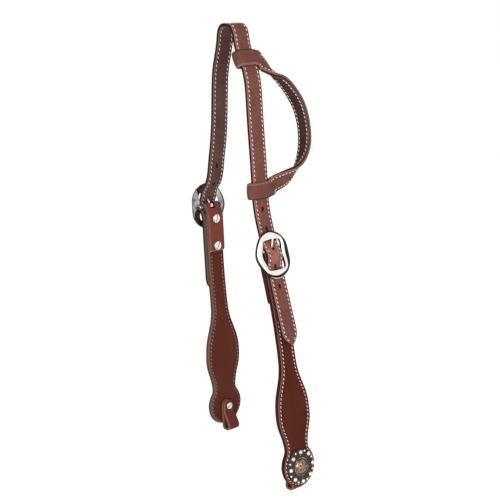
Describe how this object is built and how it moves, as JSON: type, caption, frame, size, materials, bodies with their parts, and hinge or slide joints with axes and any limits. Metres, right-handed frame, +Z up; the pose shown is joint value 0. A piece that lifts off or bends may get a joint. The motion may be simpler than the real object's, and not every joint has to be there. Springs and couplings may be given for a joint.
{
  "type": "western headstall",
  "caption": "One-ear western headstall: a crown strap with a sliding ear piece, a buckle on each side, and shaped cheeks with a concho and a bit loop.",
  "frame": {"origin": "middle of the crown's underside, where it lies behind the horse's ears", "axes": "+Z up, +X to the horse's front, +Y to the horse's left; the straps hang in the plane x = 0"},
  "size_m": [0.0899, 0.151, 0.4478],
  "materials": {
    "russet_leather": "oiled, reddish brown",
    "dark_leather": "dark purple brown, smooth",
    "tan_leather": "smooth, orange brown",
    "polished_metal": "polished",
    "nickel_screws": "bright nickel",
    "antique_silver": "antique silver, dark in its low parts",
    "copper_dome": "copper, softly polished"
  },
  "bodies": {
    "crown": {"crown_strap": "russet_leather", "crown_lining": "dark_leather", "right_buckle_frame": "polished_metal", "left_buckle_frame": "polished_metal"},
    "ear_piece": {"ear_strap": "russet_leather", "ear_lining": "dark_leather"},
    "right_tongue": {"right_buckle_tongue": "polished_metal"},
    "left_tongue": {"left_buckle_tongue": "polished_metal"},
    "right_cheek": {"right_cheek_strap": "russet_leather", "right_cheek_lining": "dark_leather", "right_upper_post": "nickel_screws", "right_lower_post": "nickel_screws", "right_upper_screw": "nickel_screws", "right_lower_screw": "nickel_screws"},
    "left_cheek": {"left_cheek_strap": "russet_leather", "left_cheek_lining": "dark_leather", "left_upper_post": "nickel_screws", "left_lower_post": "nickel_screws", "left_upper_screw": "nickel_screws", "left_lower_screw": "nickel_screws"},
    "right_concho_group": {"right_concho": "antique_silver", "right_concho_dome": "copper_dome", "right_concho_screw": "nickel_screws"},
    "left_concho_group": {"left_concho": "antique_silver", "left_concho_dome": "copper_dome", "left_concho_screw": "nickel_screws"},
    "right_loop": {"right_bit_loop": "tan_leather"},
    "left_loop": {"left_bit_loop": "tan_leather"}
  },
  "joints": [
    {"name": "ear_piece_slide", "type": "slide", "parent": "crown", "child": "ear_piece", "axis": [0, -0.1523, -0.9883], "range_m": [-0.002, 0.001]},
    {"name": "right_tongue_hinge", "type": "hinge", "parent": "crown", "child": "right_tongue", "pos_m": [0, -0.05423, -0.2138], "axis": [1, 0, 0], "range_deg": [0, 5]},
    {"name": "left_tongue_hinge", "type": "hinge", "parent": "crown", "child": "left_tongue", "pos_m": [0, 0.03529, -0.17897], "axis": [-1, 0, 0], "range_deg": [0, 5]},
    {"name": "right_cheek_hinge", "type": "hinge", "parent": "crown", "child": "right_cheek", "pos_m": [0, -0.05423, -0.2138], "axis": [1, 0, 0], "range_deg": [0, 8]},
    {"name": "left_cheek_hinge", "type": "hinge", "parent": "crown", "child": "left_cheek", "pos_m": [0, 0.03529, -0.17897], "axis": [-1, 0, 0], "range_deg": [0, 8]},
    {"name": "right_concho_turn", "type": "hinge", "parent": "right_cheek", "child": "right_concho_group", "pos_m": [0, -0.09647, -0.41817], "axis": [0, -0.9882, 0.153], "continuous": true},
    {"name": "left_concho_turn", "type": "hinge", "parent": "left_cheek", "child": "left_concho_group", "pos_m": [0, 0.01586, -0.38688], "axis": [0, 0.9981, -0.061], "continuous": true},
    {"name": "right_loop_turn", "type": "hinge", "parent": "right_cheek", "child": "right_loop", "pos_m": [0, -0.09647, -0.41817], "axis": [0, -0.9882, 0.153], "range_deg": [-20, 20]},
    {"name": "left_loop_turn", "type": "hinge", "parent": "left_cheek", "child": "left_loop", "pos_m": [0, 0.01586, -0.38688], "axis": [0, 0.9981, -0.061], "range_deg": [-20, 20]}
  ]
}
